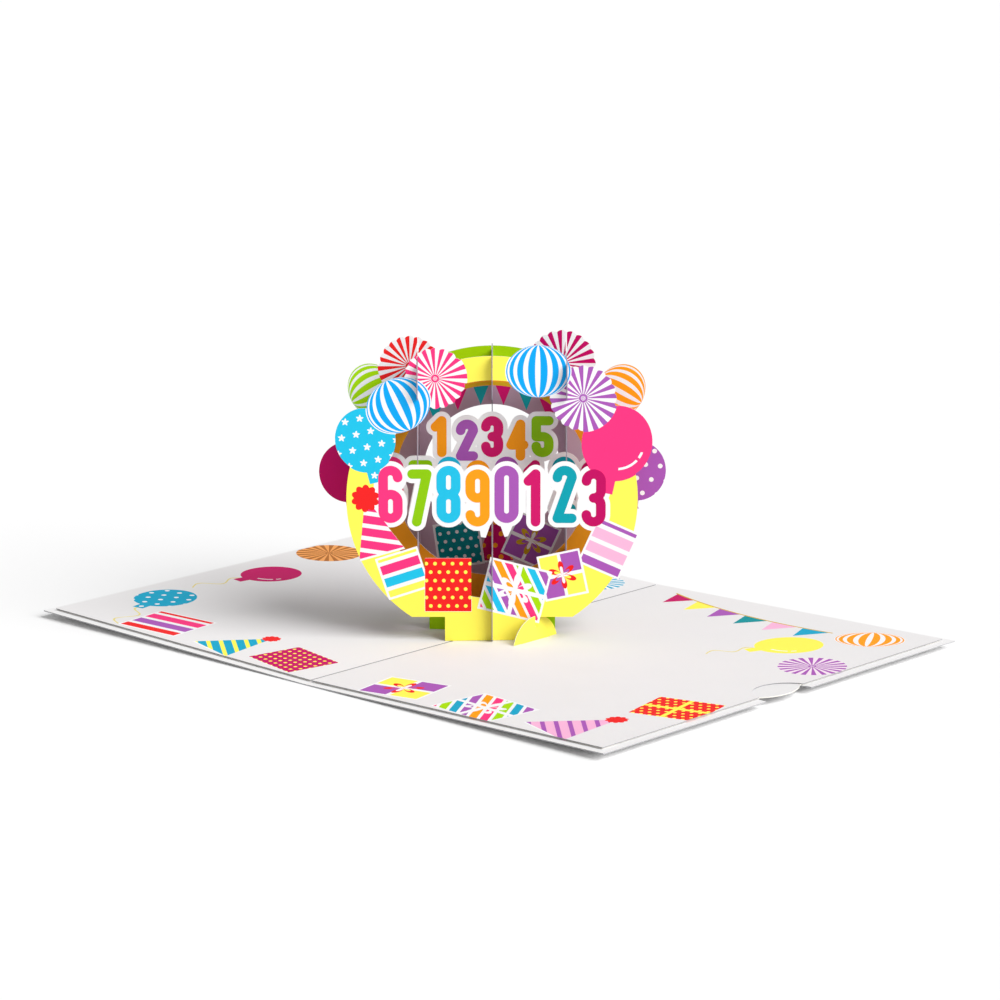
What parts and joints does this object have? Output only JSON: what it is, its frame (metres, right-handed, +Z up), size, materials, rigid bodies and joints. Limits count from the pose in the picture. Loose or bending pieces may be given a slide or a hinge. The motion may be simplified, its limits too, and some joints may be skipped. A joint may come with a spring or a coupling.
{
  "type": "pop up card",
  "caption": "Greeting card lying open: a round openwork pop-up of interlocked printed paper slices stands across the crease, with a slide-out note card.",
  "frame": {"origin": "middle of the crease, on the outside of the cover; the card lies open in a shallow V with its crease down", "axes": "+X across the crease towards the panel with the note card, +Y along the crease, +Z up"},
  "size_m": [0.254, 0.1778, 0.1038],
  "materials": {
    "cover_card": "matte",
    "mounting_tape": "matte",
    "printed_liner": "matte",
    "note_card_stock": "matte",
    "yellow_printed_card": "matte",
    "lime_printed_card": "matte",
    "lilac_printed_card": "matte",
    "yellow_card": "matte",
    "lilac_card": "matte"
  },
  "bodies": {
    "card": {"cover": "cover_card", "mounting_strip_left": "mounting_tape", "mounting_strip_right": "mounting_tape", "liner_left": "printed_liner", "liner_right": "printed_liner", "slice_front": "yellow_printed_card", "slice_middle": "lime_printed_card", "slice_back": "lilac_printed_card", "rib_left": "lilac_card", "rib_middle": "lilac_card", "rib_right": "lilac_card", "foot_left": "yellow_card", "foot_right": "yellow_card"},
    "note": {"note_card": "note_card_stock"}
  },
  "joints": [
    {"name": "note_card_slide", "type": "slide", "parent": "card", "child": "note", "axis": [0.9998, 0, 0.0185], "range_m": [0, 0.107]}
  ]
}
